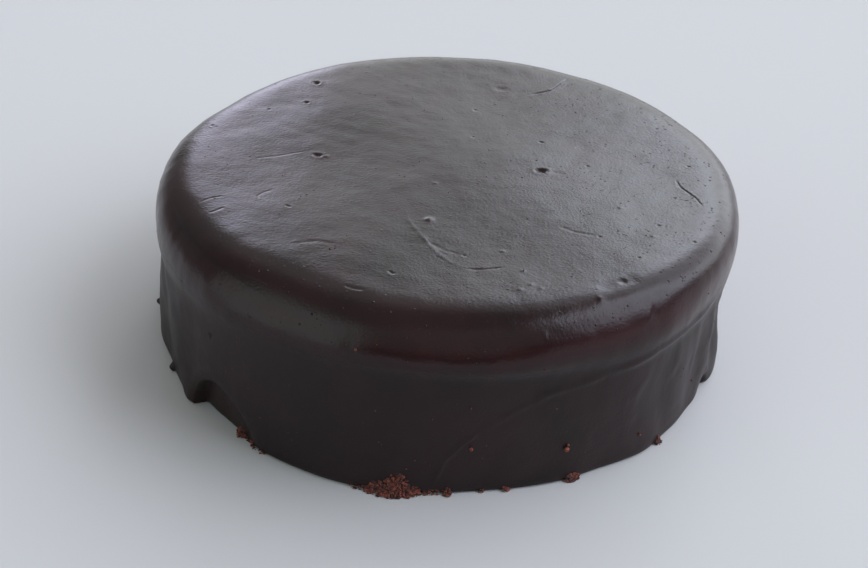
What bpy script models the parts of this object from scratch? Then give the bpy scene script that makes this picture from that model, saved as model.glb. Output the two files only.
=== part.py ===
"""A whole sachertorte under poured chocolate glaze, in metres, +Z up, resting on z = 0.

The cake is one solid. It is turned from a half outline, and then every ring settles the way poured
glaze does: the shoulder overhangs further on one side, the top leans a little, soft folds run down
the wall, and the hem lifts in an arch at the front left. The front faces -Y and azimuths are in
degrees, anticlockwise from +X.
"""

import math

import bmesh
import bpy

# The turned form
TOP_HEIGHT = 0.0634
TOP_FLAT_RADIUS = 0.085
SHOULDER_RADIUS = 0.102
SHOULDER_HEIGHT = 0.0495
SHOULDER_SQUARENESS = 2.8
NECK_RADIUS = 0.0992
NECK_HEIGHT = 0.0360
FOOT_RADIUS = 0.1004
FOOT_EDGE = 0.0012
FOOT_FLARE = 1.4

# How finely it is turned. Wall rings stand closer together towards the foot
TURN_STEPS = 150
TOP_RINGS = 5
SHOULDER_RINGS = 7
WALL_RINGS = 14
WALL_CLOSENESS = 1.25
WELD_DISTANCE = 0.00002
SHARP_ANGLE = 60.0

# Departures from the round: (waves round the cake, depth, azimuth of a crest)
SHOULDER_WAVES = ((1, 0.0018, 22.0), (2, 0.0006, 36.0), (7, 0.0003, 11.0), (12, 0.0002, 75.0))
FOOT_WAVES = ((2, 0.0004, 0.0), (5, 0.0003, 30.0), (9, 0.0003, 64.0))
NECK_LIFTS = ((1, 0.0053, -131.0), (2, 0.0058, 90.0))

# Each of them fades in or out over this span of heights: (from, to)
SHOULDER_SPAN = (0.020, 0.046)
FOOT_SPAN = (0.004, 0.028)

# The top is not level: it rises towards one side, and it swells a little
TOP_RISE = 0.024
TOP_RISE_TOWARDS = -48.0
TOP_SWELL = 0.0004
TOP_SWELL_LENGTH = 0.055
TOP_SWELL_SHIFT = 0.6
TOP_SHARE = 0.8

# Swells and hollows of the shoulder and of the foot: (azimuth, half width in degrees, how far out)
SHOULDER_SWELLS = ((105.0, 38.0, 0.0013),)
FOOT_SWELLS = (
    (-106.0, 12.0, 0.0014),
    (-80.0, 6.0, -0.0003),
    (-56.0, 5.0, -0.0008),
    (-44.0, 5.0, 0.0014),
    (-7.0, 8.0, 0.0022),
    (-160.0, 12.0, -0.0008),
)

# Soft folds where the glaze ran down: (azimuth, half width of the folded stretch, strength)
FOLDED_STRETCHES = ((-20.0, 24.0, 1.0), (-163.0, 20.0, 0.8), (95.0, 50.0, 0.5))
FOLD_DEPTH = 0.0009
FOLDS_ROUND = 25
FOLD_UNEVENNESS = 2.0
FOLD_SHARE_AT_FOOT = 0.5
FOLD_FULL_HEIGHT = 0.012
FOLD_FADE_SPAN = (0.022, 0.042)

# Arches where the hem lifts off the plate, sharp at the left end and fading to the right:
# (azimuth, width to the left, width to the right in degrees, height, depth)
ARCHES = ((-134.0, 8.6, 12.5, 0.0168, 0.0036), (118.0, 6.0, 9.0, 0.0080, 0.0022))
ARCH_EDGE = 0.0045
ARCH_FADE = 0.75
ARCH_FADE_SPAN = (-0.1, 1.0)
ARCH_LEFT_CURVE = 2.0
ARCH_RIGHT_CURVE = 1.2

# Lobes and hollows low on the hem: (azimuth, half width in degrees, how far out, height)
HEM_LOBES = (
    (-145.0, 2.8, 0.0016, 0.014),
    (-14.5, 4.0, 0.0014, 0.016),
    (-20.5, 2.6, -0.0020, 0.016),
    (72.0, 4.0, 0.0012, 0.012),
    (78.5, 3.0, -0.0012, 0.010),
)

# The turned columns stand closer together here, where the hem has its finest shapes:
# (azimuth, half width in degrees, how far each column moves in, as a share)
GATHERS = ((-134.0, 27.0, 0.5), (-17.0, 20.0, 0.4))

GLAZE_COLOR = (0.018, 0.013, 0.012, 1.0)
GLAZE_ROUGHNESS = 0.38


def clear_scene():
    for thing in list(bpy.data.objects):
        bpy.data.objects.remove(thing, do_unlink=True)


def mix(low, high, share):
    return low + (high - low) * share


def ease(share):
    """0 to 1 with a level start and a level end."""
    share = min(1.0, max(0.0, share))
    return share * share * (3.0 - 2.0 * share)


def rise_over(span, value):
    """0 below a span of values, 1 above it, and a smooth rise within it."""
    low, high = span
    return ease((value - low) / (high - low))


def turn_between(azimuth, other):
    """Degrees from one azimuth to another, the short way round."""
    return (azimuth - other + 180.0) % 360.0 - 180.0


def swell(azimuth, middle, half_width, height):
    """A smooth hump at one azimuth, as felt at another."""
    return height * math.exp(-((turn_between(azimuth, middle) / half_width) ** 2))


def swells(azimuth, places):
    return sum(swell(azimuth, *place) for place in places)


def waves(azimuth, terms):
    return sum(
        depth * math.cos(math.radians(count * (azimuth - crest))) for count, depth, crest in terms
    )


def wall_radius(height):
    if height > NECK_HEIGHT:
        return mix(NECK_RADIUS, SHOULDER_RADIUS, rise_over((NECK_HEIGHT, SHOULDER_HEIGHT), height))
    return mix(NECK_RADIUS, FOOT_RADIUS, (1.0 - height / NECK_HEIGHT) ** FOOT_FLARE)


def shoulder_height(radius):
    """Height of the rounded edge, a squarish quarter oval from the flat top to the widest ring."""
    across = (radius - TOP_FLAT_RADIUS) / (SHOULDER_RADIUS - TOP_FLAT_RADIUS)
    level = max(0.0, 1.0 - across**SHOULDER_SQUARENESS) ** (1.0 / SHOULDER_SQUARENESS)
    return mix(SHOULDER_HEIGHT, TOP_HEIGHT, level)


def half_outline():
    """(radius, height) from the middle of the top over the shoulder and down the wall to the base."""
    points = [(TOP_FLAT_RADIUS * ring / TOP_RINGS, TOP_HEIGHT) for ring in range(TOP_RINGS + 1)]
    for ring in range(1, SHOULDER_RINGS + 1):
        across = math.sin(math.pi / 2.0 * ring / SHOULDER_RINGS)
        radius = mix(TOP_FLAT_RADIUS, SHOULDER_RADIUS, across)
        points.append((radius, shoulder_height(radius)))
    for ring in range(WALL_RINGS - 1, -1, -1):
        height = mix(FOOT_EDGE, SHOULDER_HEIGHT, (ring / WALL_RINGS) ** WALL_CLOSENESS)
        points.append((wall_radius(height), height))
    points.append((FOOT_RADIUS - FOOT_EDGE, 0.0))
    points.append((0.0, 0.0))
    return points


def turned(name, outline):
    """A closed mesh turned about Z from a half outline."""
    profile_mesh = bpy.data.meshes.new(name + "_outline")
    ends = [(index, index + 1) for index in range(len(outline) - 1)]
    profile_mesh.from_pydata([(radius, 0.0, height) for radius, height in outline], ends, [])
    profile = bpy.data.objects.new(name + "_outline", profile_mesh)
    bpy.context.scene.collection.objects.link(profile)
    screw = profile.modifiers.new("Turn", "SCREW")
    screw.axis = "Z"
    screw.steps = TURN_STEPS
    screw.render_steps = TURN_STEPS
    screw.use_merge_vertices = True
    screw.merge_threshold = WELD_DISTANCE
    graph = bpy.context.evaluated_depsgraph_get()
    mesh = bpy.data.meshes.new_from_object(profile.evaluated_get(graph))
    bpy.data.objects.remove(profile, do_unlink=True)
    mesh.name = name
    return mesh


def fold_out(azimuth, height):
    """Soft upright folds below the shoulder, deepest halfway up and still there at the foot."""
    turn = math.radians(azimuth)
    wave = math.sin(FOLDS_ROUND * turn + FOLD_UNEVENNESS * math.sin(3.0 * turn))
    share = mix(FOLD_SHARE_AT_FOOT, 1.0, ease(height / FOLD_FULL_HEIGHT))
    share *= 1.0 - rise_over(FOLD_FADE_SPAN, height)
    return FOLD_DEPTH * swells(azimuth, FOLDED_STRETCHES) * wave * share


def arch_in(azimuth, height, arch):
    """How far the wall stands back under one arch of the hem."""
    middle, left_width, right_width, top, depth = arch
    turn = turn_between(azimuth, middle)
    across = turn / (right_width if turn > 0.0 else left_width)
    curve = ARCH_RIGHT_CURVE if turn > 0.0 else ARCH_LEFT_CURVE
    under = top * (1.0 - math.sqrt(abs(across) ** curve + (height / top) ** 2))
    return depth * ease(under / ARCH_EDGE) * (1.0 - ARCH_FADE * rise_over(ARCH_FADE_SPAN, across))


def reach_out(azimuth, height):
    """How far the surface stands out from the turned form at an azimuth and a height."""
    shoulder = waves(azimuth, SHOULDER_WAVES) + swells(azimuth, SHOULDER_SWELLS)
    foot = waves(azimuth, FOOT_WAVES) + swells(azimuth, FOOT_SWELLS)
    lobes = sum(
        swell(azimuth, middle, half_width, out) * (1.0 - ease(height / top))
        for middle, half_width, out, top in HEM_LOBES
    )
    arches = sum(arch_in(azimuth, height, arch) for arch in ARCHES)
    return (
        rise_over(SHOULDER_SPAN, height) * shoulder
        + (1.0 - rise_over(FOOT_SPAN, height)) * foot
        + lobes
        + fold_out(azimuth, height)
        - arches
    )


def top_swell(x, y):
    across = math.sin(math.pi * x / TOP_SWELL_LENGTH + TOP_SWELL_SHIFT)
    return TOP_SWELL * across * math.cos(math.pi * y / TOP_SWELL_LENGTH)


def lift(x, y, height, azimuth):
    """How far a point rises: the slope and swell of the top, and the neck that wanders."""
    if height <= 0.0:
        return 0.0
    share = height / TOP_HEIGHT
    towards = math.radians(TOP_RISE_TOWARDS)
    slope = TOP_RISE * (x * math.cos(towards) + y * math.sin(towards))
    rise = share * slope + rise_over((TOP_SHARE, 1.0), share) * top_swell(x, y)
    if height < SHOULDER_HEIGHT:
        rise += waves(azimuth, NECK_LIFTS) * math.sin(math.pi * height / SHOULDER_HEIGHT) ** 2
    return rise


def gathered(azimuth):
    """The azimuth that a column moves to, closer to its neighbours where the shape is finest."""
    return azimuth - sum(
        turn_between(azimuth, middle) * swell(azimuth, middle, half_width, share)
        for middle, half_width, share in GATHERS
    )


def settle(mesh):
    """Moves every point of the turned form to where the glaze settled. The base stays level."""
    for vertex in mesh.vertices:
        x, y, height = vertex.co
        radius = math.hypot(x, y)
        azimuth = gathered(math.degrees(math.atan2(y, x)))
        radius += rise_over((TOP_FLAT_RADIUS / 2.0, TOP_FLAT_RADIUS), radius) * reach_out(azimuth, height)
        x = radius * math.cos(math.radians(azimuth))
        y = radius * math.sin(math.radians(azimuth))
        vertex.co = (x, y, height + lift(x, y, height, azimuth))


def glaze_material():
    material = bpy.data.materials.new("chocolate_glaze")
    material.use_nodes = True
    shader = material.node_tree.nodes["Principled BSDF"]
    shader.inputs["Base Color"].default_value = GLAZE_COLOR
    shader.inputs["Roughness"].default_value = GLAZE_ROUGHNESS
    shader.inputs["Metallic"].default_value = 0.0
    material.diffuse_color = GLAZE_COLOR
    return material


def make_cake(collection):
    mesh = turned("cake", half_outline())
    settle(mesh)
    shell = bmesh.new()
    shell.from_mesh(mesh)
    bmesh.ops.remove_doubles(shell, verts=shell.verts, dist=WELD_DISTANCE)
    shell.to_mesh(mesh)
    shell.free()
    mesh.shade_smooth()
    mesh.set_sharp_from_angle(angle=math.radians(SHARP_ANGLE))
    mesh.materials.append(glaze_material())
    cake = bpy.data.objects.new("cake", mesh)
    collection.objects.link(cake)
    return cake


def main():
    clear_scene()
    collection = bpy.data.collections.new("sachertorte")
    bpy.context.scene.collection.children.link(collection)
    make_cake(collection)


main()
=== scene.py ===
# %% [markdown]
# # A whole sachertorte under poured chocolate glaze
#
# A sachertorte is a drum of dense chocolate sponge with a coat of dark glaze poured over it. The glaze
# runs over the edge, hangs there as a thick shoulder, and sets in soft folds on the wall. This lesson
# dresses a plain solid of the cake: the coat, the sponge inside it, and the crumbs round the foot.
# The plain solid is loaded first, and its box is printed beside that of the dressed cake at the end.

import math

import bmesh
import bpy
import numpy as np
from mathutils import Matrix, Vector
from mathutils.bvhtree import BVHTree


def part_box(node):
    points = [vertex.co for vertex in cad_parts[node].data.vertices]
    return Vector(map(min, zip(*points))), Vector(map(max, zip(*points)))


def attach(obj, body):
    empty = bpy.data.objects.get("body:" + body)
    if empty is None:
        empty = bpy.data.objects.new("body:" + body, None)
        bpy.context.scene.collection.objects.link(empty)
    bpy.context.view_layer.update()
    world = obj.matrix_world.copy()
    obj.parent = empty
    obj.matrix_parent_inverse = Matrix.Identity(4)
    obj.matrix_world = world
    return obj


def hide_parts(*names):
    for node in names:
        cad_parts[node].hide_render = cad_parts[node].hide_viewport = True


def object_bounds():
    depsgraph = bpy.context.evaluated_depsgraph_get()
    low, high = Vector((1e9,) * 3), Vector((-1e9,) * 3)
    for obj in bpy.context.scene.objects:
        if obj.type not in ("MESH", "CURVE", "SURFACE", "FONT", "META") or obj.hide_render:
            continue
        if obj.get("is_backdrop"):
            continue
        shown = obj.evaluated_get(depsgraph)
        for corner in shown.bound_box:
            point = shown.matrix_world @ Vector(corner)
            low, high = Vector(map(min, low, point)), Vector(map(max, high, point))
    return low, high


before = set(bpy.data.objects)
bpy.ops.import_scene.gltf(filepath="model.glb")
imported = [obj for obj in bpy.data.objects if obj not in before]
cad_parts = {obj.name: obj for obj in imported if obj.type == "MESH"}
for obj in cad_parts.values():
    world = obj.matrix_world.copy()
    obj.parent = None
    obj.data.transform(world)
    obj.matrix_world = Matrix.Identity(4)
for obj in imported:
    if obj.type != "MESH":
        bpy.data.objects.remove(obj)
solid_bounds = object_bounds()
solid_low, solid_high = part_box("cake")
print("the solid spans", [round(1000.0 * side, 1) for side in solid_high - solid_low], "mm")

# %% [markdown]
# ## The outline that the cake is turned from
#
# The form is a half outline turned about the upright axis: a flat top, a squarish rounded shoulder, a
# slightly narrower neck, and a wall that flares a little at the foot. A Screw modifier could turn it,
# but here every point of the coat has to be movable by a rule, so the outline is kept as numbers: how
# far along it we are, the radius there and the height there.

# %% Sizes of the outline
TOP_HEIGHT = 0.0634
TOP_FLAT_RADIUS = 0.085
SHOULDER_RADIUS = 0.102
SHOULDER_HEIGHT = 0.0495
NECK_RADIUS = 0.0992
NECK_HEIGHT = 0.0360
FOOT_RADIUS = 0.1004
FOOT_FLARE = 2.2
HEM_EDGE = 0.0012

# (radius of the flat, radius and height where it is widest, power across, power down, radius of the
# neck): a higher power bends later and more sharply
PLAIN_SHOULDER = (TOP_FLAT_RADIUS, SHOULDER_RADIUS, SHOULDER_HEIGHT, 2.8, 2.8, NECK_RADIUS)
SQUARER_SHOULDER = (0.0860, 0.1029, 0.0475, 3.5, 1.50, 0.1018)
HIGHER_SHOULDER = (0.0890, 0.1026, 0.0525, 3.5, 2.2, 0.1007)
LOWER_SHOULDER = (0.0835, 0.1024, 0.0465, 2.8, 1.65, 0.1006)
SLANTED_SHOULDER = (0.0810, 0.1015, 0.0420, 2.6, 1.8, 0.1007)

DRUM_RADIUS = 0.0950
DRUM_HEIGHT = 0.0595


# %% Blends that every rule uses
def mix(low, high, share):
    return low + (high - low) * share


def ease(share):
    """0 to 1 with a level start and a level end."""
    share = np.clip(share, 0.0, 1.0)
    return share * share * (3.0 - 2.0 * share)


def rise_over(span, value):
    """0 below a span of values, 1 above it, and a smooth rise within it."""
    low, high = span
    return ease((value - low) / (high - low))


def soft_rise_over(span, value):
    """The same rise with its bend eased too, so that no crease shows in the gloss."""
    low, high = span
    share = np.clip((value - low) / (high - low), 0.0, 1.0)
    return share**3 * (share * (share * 6.0 - 15.0) + 10.0)


def turn_between(azimuth, other):
    """Degrees from one azimuth to another, the short way round."""
    return (azimuth - other + 180.0) % 360.0 - 180.0


def swells(azimuth, places):
    """The sum of smooth humps (azimuth, half width in degrees, height)."""
    return sum(
        height * np.exp(-((turn_between(azimuth, middle) / half_width) ** 2))
        for middle, half_width, height in places
    )


def waves(azimuth, terms):
    return sum(
        depth * np.cos(np.radians(count * (azimuth - crest))) for count, depth, crest in terms
    )


# %% The half outline as numbers
def wall_radius(shoulder_shape, height):
    _, widest, widest_height, _, _, neck = shoulder_shape
    above = mix(neck, widest, soft_rise_over((NECK_HEIGHT, widest_height), height))
    flare = np.clip(1.0 - height / NECK_HEIGHT, 0.0, 1.0) ** FOOT_FLARE
    return np.where(height > NECK_HEIGHT, above, mix(neck, FOOT_RADIUS, flare))


def half_outline(shoulder_shape, steps=240):
    """(way along, radius, height) from the middle of the top to the inner edge of the hem."""
    flat_radius, widest, widest_height, power_across, power_down, _ = shoulder_shape
    turn = np.linspace(0.0, math.pi / 2.0, steps)
    across = np.sin(turn)
    level = np.clip(1.0 - across**power_across, 0.0, 1.0) ** (1.0 / power_down)
    shoulder = (mix(flat_radius, widest, across), mix(widest_height, TOP_HEIGHT, level))
    wall_heights = np.linspace(widest_height, HEM_EDGE, steps)[1:]
    wall = (wall_radius(shoulder_shape, wall_heights), wall_heights)
    hem_middle = wall[0][-1] - HEM_EDGE
    hem_turn = turn[1:]
    hem = (hem_middle + HEM_EDGE * np.cos(hem_turn), HEM_EDGE * (1.0 - np.sin(hem_turn)))
    base = (np.array([DRUM_RADIUS]), np.array([0.0]))
    radius = np.concatenate([[0.0], shoulder[0], wall[0], hem[0], base[0]])
    height = np.concatenate([[TOP_HEIGHT], shoulder[1], wall[1], hem[1], base[1]])
    along = np.concatenate([[0.0], np.cumsum(np.hypot(np.diff(radius), np.diff(height)))])
    return along, radius, height


def way_to_height(outline, height):
    along, _, heights = outline
    return float(np.interp(-height, -heights[1:-1], along[1:-1]))


OUTLINE = half_outline(PLAIN_SHOULDER)
ALONG, OUTLINE_RADIUS, OUTLINE_HEIGHT = OUTLINE
WAY_TO_WALL = way_to_height(OUTLINE, SHOULDER_HEIGHT)
WAY_TO_HEM = way_to_height(OUTLINE, HEM_EDGE)


def other_outline(shoulder_shape):
    """(radius, height) of an outline with another shoulder, at the same ways along as the plain one."""
    other = half_outline(shoulder_shape)
    ways = np.interp(
        ALONG,
        [0.0, TOP_FLAT_RADIUS, WAY_TO_WALL, ALONG[-1]],
        [0.0, shoulder_shape[0], way_to_height(other, shoulder_shape[2]), other[0][-1]],
    )
    return np.interp(ways, other[0], other[1]), np.interp(ways, other[0], other[2])


print(f"the outline is {1000.0 * ALONG[-1]:.1f} mm long, the hem starts at {1000.0 * WAY_TO_HEM:.1f} mm")

# %% [markdown]
# ## How the glaze settled
#
# Nothing poured by hand is round. The shoulder hangs out further on the right, the top slopes, the
# neck wanders up and down, upright folds run where the glaze was thick, and in front on the left the
# hem lifted in an arch. Each of these is a smooth rule of azimuth and height. Azimuths are in degrees,
# anticlockwise from +X, and the front of the cake faces -Y.

# %% Departures from the round
SHOULDER_WAVES = ((1, 0.0018, 22.0), (2, 0.0006, 36.0), (7, 0.0003, 11.0), (12, 0.0002, 75.0))
FOOT_WAVES = ((2, 0.0004, 0.0), (5, 0.0003, 30.0), (9, 0.0003, 64.0))
NECK_LIFTS = ((1, 0.0030, -131.0), (2, 0.0033, 90.0))
NECK_LIFT_SPANS = ((0.0, 0.0360), (0.0360, 0.0585))
SHOULDER_SPAN = (0.020, 0.046)
FOOT_SPAN = (0.004, 0.028)
SHOULDER_SWELLS = ((105.0, 38.0, 0.0013),)
FOOT_SWELLS = (
    (-106.0, 12.0, 0.0014),
    (-80.0, 6.0, -0.0003),
    (-56.0, 5.0, -0.0008),
    (-44.0, 5.0, 0.0014),
    (-7.0, 8.0, 0.0022),
    (-160.0, 12.0, -0.0008),
)
# (outline with its own shoulder, where the cake has it)
SHOULDER_KINDS = (
    (other_outline(SQUARER_SHOULDER), ((-52.0, 18.0, 1.0),)),
    (other_outline(HIGHER_SHOULDER), ((-24.0, 17.0, 1.0),)),
    (other_outline(LOWER_SHOULDER), ((-84.0, 20.0, 1.0), (-153.0, 15.0, 0.8))),
    (other_outline(SLANTED_SHOULDER), ((-122.0, 26.0, 1.0),)),
)
TOP_RISE = 0.024
TOP_RISE_TOWARDS = math.radians(-48.0)
TOP_SWELL = 0.0004
TOP_SWELL_LENGTH = 0.055
TOP_SWELL_SHIFT = 0.6
TOP_SHARE = 0.8
FACET_EDGE = -0.0460
FACET_BEND = 6.0
FACET_BEND_FROM = 0.010
FACET_SLOPE = 0.034
FACET_SOFTNESS = 0.0012

# %% Folds, arches and lobes
FOLDED_STRETCHES = ((-20.0, 24.0, 1.0), (-163.0, 20.0, 0.8), (95.0, 50.0, 0.5))
FOLD_DEPTH = 0.0008
FOLDS_ROUND = 25
FOLD_UNEVENNESS = 2.0
FOLD_SHARE_AT_FOOT = 0.5
FOLD_FULL_HEIGHT = 0.012
FOLD_FADE_SPAN = (0.022, 0.042)

# (azimuth, width to the left, width to the right in degrees, height, depth)
ARCHES = (
    (-134.0, 8.6, 12.5, 0.0164, 0.0040),
    (-18.8, 2.4, 2.2, 0.0060, 0.0024),
    (118.0, 6.0, 9.0, 0.0080, 0.0022),
)
ARCH_EDGE = 0.0016
ARCH_SOFT_EDGE = 0.0060
ARCH_TOP_DEPTH = 0.7
ARCH_LIP = 0.0004
ARCH_LIP_WIDTH = 0.0022
ARCH_FADE = 0.7
ARCH_FADE_SPAN = (-0.1, 1.0)
ARCH_LEFT_CURVE = 2.0
ARCH_RIGHT_CURVE = 1.2

# (azimuth, half width in degrees, how far out, height)
HEM_LOBES = (
    (-145.0, 2.8, 0.0016, 0.014),
    (-14.5, 4.0, 0.0014, 0.016),
    (-20.5, 2.6, -0.0020, 0.016),
    (72.0, 4.0, 0.0012, 0.012),
    (78.5, 3.0, -0.0012, 0.010),
)


# %% Rules of the settled form
def fold_out(azimuth, height):
    turn = np.radians(azimuth)
    wave = np.sin(FOLDS_ROUND * turn + FOLD_UNEVENNESS * np.sin(3.0 * turn))
    share = mix(FOLD_SHARE_AT_FOOT, 1.0, ease(height / FOLD_FULL_HEIGHT))
    share = share * (1.0 - rise_over(FOLD_FADE_SPAN, height))
    return FOLD_DEPTH * swells(azimuth, FOLDED_STRETCHES) * wave * share


def way_under(azimuth, height, arch):
    """(how far a place is under the edge of an arch, the way across it: -1 at its left foot, 1 at its right)."""
    middle, left_width, right_width, top, _ = arch
    turn = turn_between(azimuth, middle)
    across = turn / np.where(turn > 0.0, right_width, left_width)
    curve = np.where(turn > 0.0, ARCH_RIGHT_CURVE, ARCH_LEFT_CURVE)
    return top * (1.0 - np.sqrt(np.abs(across) ** curve + (height / top) ** 2)), across


def arch_out(azimuth, height, arch):
    """How far the wall stands out round one arch: back under it, and a little proud along its lip."""
    top, depth = arch[3:]
    under, across = way_under(azimuth, height, arch)
    to_right = rise_over(ARCH_FADE_SPAN, across)
    edge = mix(ARCH_EDGE, ARCH_SOFT_EDGE, to_right)
    deepness = mix(1.0, ARCH_TOP_DEPTH, np.clip(height / top, 0.0, 1.0))
    back = depth * deepness * soft_rise_over((0.0, 1.0), under / edge)
    lip = ARCH_LIP * np.exp(-(((under + ARCH_LIP_WIDTH) / ARCH_LIP_WIDTH) ** 2))
    return (lip - back) * (1.0 - ARCH_FADE * to_right)


def reach_out(azimuth, height):
    """How far the surface stands out from the turned form."""
    shoulder = waves(azimuth, SHOULDER_WAVES) + swells(azimuth, SHOULDER_SWELLS)
    foot = waves(azimuth, FOOT_WAVES) + swells(azimuth, FOOT_SWELLS)
    lobes = sum(
        swells(azimuth, ((middle, half_width, out),)) * (1.0 - ease(height / top))
        for middle, half_width, out, top in HEM_LOBES
    )
    return (
        rise_over(SHOULDER_SPAN, height) * shoulder
        + (1.0 - rise_over(FOOT_SPAN, height)) * foot
        + lobes
        + fold_out(azimuth, height)
        + sum(arch_out(azimuth, height, arch) for arch in ARCHES)
    )


def slope_at(x, y):
    return TOP_RISE * (x * math.cos(TOP_RISE_TOWARDS) + y * math.sin(TOP_RISE_TOWARDS))


def facet_drop(x, y):
    """The left of the top was pressed down by one stroke of the spatula, and slopes away from its edge."""
    edge = FACET_EDGE - FACET_BEND * np.maximum(FACET_BEND_FROM - y, 0.0) ** 2
    return FACET_SLOPE * FACET_SOFTNESS * np.logaddexp(0.0, (edge - x) / FACET_SOFTNESS)


def lift(x, y, height, azimuth):
    """How far a point rises: the slope and swell of the top, and the neck that wanders."""
    share = height / TOP_HEIGHT
    across = np.sin(math.pi * x / TOP_SWELL_LENGTH + TOP_SWELL_SHIFT)
    top_swell = TOP_SWELL * across * np.cos(math.pi * y / TOP_SWELL_LENGTH)
    below_neck, above_neck = NECK_LIFT_SPANS
    neck_share = rise_over(below_neck, height) * (1.0 - rise_over(above_neck, height))
    rise = share * slope_at(x, y) + rise_over((TOP_SHARE, 1.0), share) * (top_swell - facet_drop(x, y))
    return rise + waves(azimuth, NECK_LIFTS) * neck_share


def settled(along, azimuth):
    """The place on the settled coat, from the way along the outline and the azimuth."""
    radius = np.interp(along, ALONG, OUTLINE_RADIUS)
    height = np.interp(along, ALONG, OUTLINE_HEIGHT)
    for (own_radius, own_height), places in SHOULDER_KINDS:
        share = swells(azimuth, places)
        radius = mix(radius, np.interp(along, ALONG, own_radius), share)
        height = mix(height, np.interp(along, ALONG, own_height), share)
    foot_share = 1.0 - rise_over((WAY_TO_HEM, ALONG[-1]), along)
    share = rise_over((TOP_FLAT_RADIUS / 2.0, TOP_FLAT_RADIUS), radius) * foot_share
    radius = radius + share * reach_out(azimuth, height)
    x = radius * np.cos(np.radians(azimuth))
    y = radius * np.sin(np.radians(azimuth))
    return np.stack([x, y, height + lift(x, y, height, azimuth)], axis=-1)


print("the front of the foot is at", np.round(1000.0 * settled(WAY_TO_HEM, -90.0), 1), "mm")

# %% [markdown]
# ## Marks in the glaze
#
# Glaze keeps what happened to it while it set: burst bubbles, crumbs under the skin, strokes of the spatula, a crack, a
# crease. They are listed, each with its points, its half width and how far it rises, negative for a hollow. Marks on
# the top are in (x, y) and marks on the wall in (azimuth, height). A sculpted mesh would show them too, but a list of
# named marks can be read and changed.

# %% Marks on the top
TOP_PITS = (
    ((-0.0668, 0.0410),), ((-0.0860, 0.0275),), ((-0.0520, -0.0320), (-0.0510, -0.0326)),
    ((-0.0150, -0.0706), (-0.0142, -0.0716)), ((0.0080, -0.0580),), ((0.0336, 0.0237), (0.0344, 0.0234)),
    ((0.0097, 0.0480),), ((0.0093, 0.0250),), ((0.0520, -0.0425),), ((0.0720, -0.0330),),
    ((0.0640, -0.0550),), ((0.0830, -0.0430),), ((0.0860, 0.0107),), ((0.0500, 0.0070),),
)
TOP_BUMPS = (
    ((-0.0031, -0.0112),), ((0.0257, -0.0770),), ((0.0292, -0.0737),), ((0.0323, -0.0758),),
    ((0.0338, -0.0927),), ((0.0600, -0.0220),), ((0.0696, -0.0407),), ((0.0204, -0.0539),),
    ((0.0267, -0.0656),), ((-0.0420, 0.0055),),
)
TOP_MARKS = (
    *((points, 0.0008, -0.00018) for points in TOP_PITS),
    *((points, 0.0008, 0.00013) for points in TOP_BUMPS),
    (((0.0330, 0.0013), (0.0342, 0.0014)), 0.0016, -0.0008),
    (((-0.0515, 0.0640),), 0.0015, -0.0007),
    (((-0.0536, 0.0470),), 0.0011, -0.0004),
    (((-0.0460, 0.0060), (-0.0448, 0.0058)), 0.0012, -0.0005),
    (((0.0355, 0.0012), (0.0385, 0.0006), (0.0420, 0.0004)), 0.0013, -0.00008),
    (((-0.0042, -0.0362),), 0.0013, 0.0004),
    (((0.0186, 0.0675), (0.0200, 0.0672)), 0.0020, -0.00012),
    (((0.0580, -0.0690),), 0.0016, -0.0003),
    (((0.0500, -0.0760), (0.0560, -0.0715), (0.0640, -0.0660)), 0.0035, -0.0003),
    (((0.0508, -0.0785),), 0.0010, 0.0003),
    (((0.0670, -0.0725), (0.0672, -0.0775)), 0.0010, 0.0001),
    (((0.0802, 0.0019), (0.0820, -0.0052), (0.0862, -0.0120), (0.0885, -0.0194)), 0.00045, -0.00018),
    (((0.0290, 0.0625), (0.0390, 0.0680), (0.0430, 0.0745), (0.0460, 0.0807)), 0.0007, -0.0003),
    (((0.0084, -0.0662), (0.0140, -0.0659), (0.0207, -0.0638)), 0.0006, -0.0002),
    (((-0.0294, -0.0793), (-0.0255, -0.0812), (-0.0220, -0.0820)), 0.0009, -0.00016),
    (((-0.0815, -0.0305), (-0.0770, -0.0275), (-0.0734, -0.0262)), 0.0006, -0.00007),
    (((-0.0776, -0.0383), (-0.0750, -0.0365), (-0.0720, -0.0336)), 0.0006, -0.00010),
    (((-0.0617, -0.0278), (-0.0625, -0.0255), (-0.0612, -0.0235), (-0.0576, -0.0203)), 0.0005, -0.00008),
    (((-0.0690, 0.0010), (-0.0590, 0.0045), (-0.0480, 0.0094)), 0.0007, -0.00005),
    (((0.0380, -0.0360), (0.0440, -0.0400), (0.0515, -0.0420)), 0.0009, -0.00007),
    (((-0.0130, -0.0330), (-0.0074, -0.0450), (-0.0010, -0.0570), (0.0075, -0.0670)), 0.0008, 0.00006),
    (((-0.0050, -0.0500), (0.0020, -0.0555), (0.0075, -0.0575)), 0.0010, -0.00006),
    (((-0.0490, -0.0575), (-0.0400, -0.0545), (-0.0320, -0.0560)), 0.0012, -0.00007),
)

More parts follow.
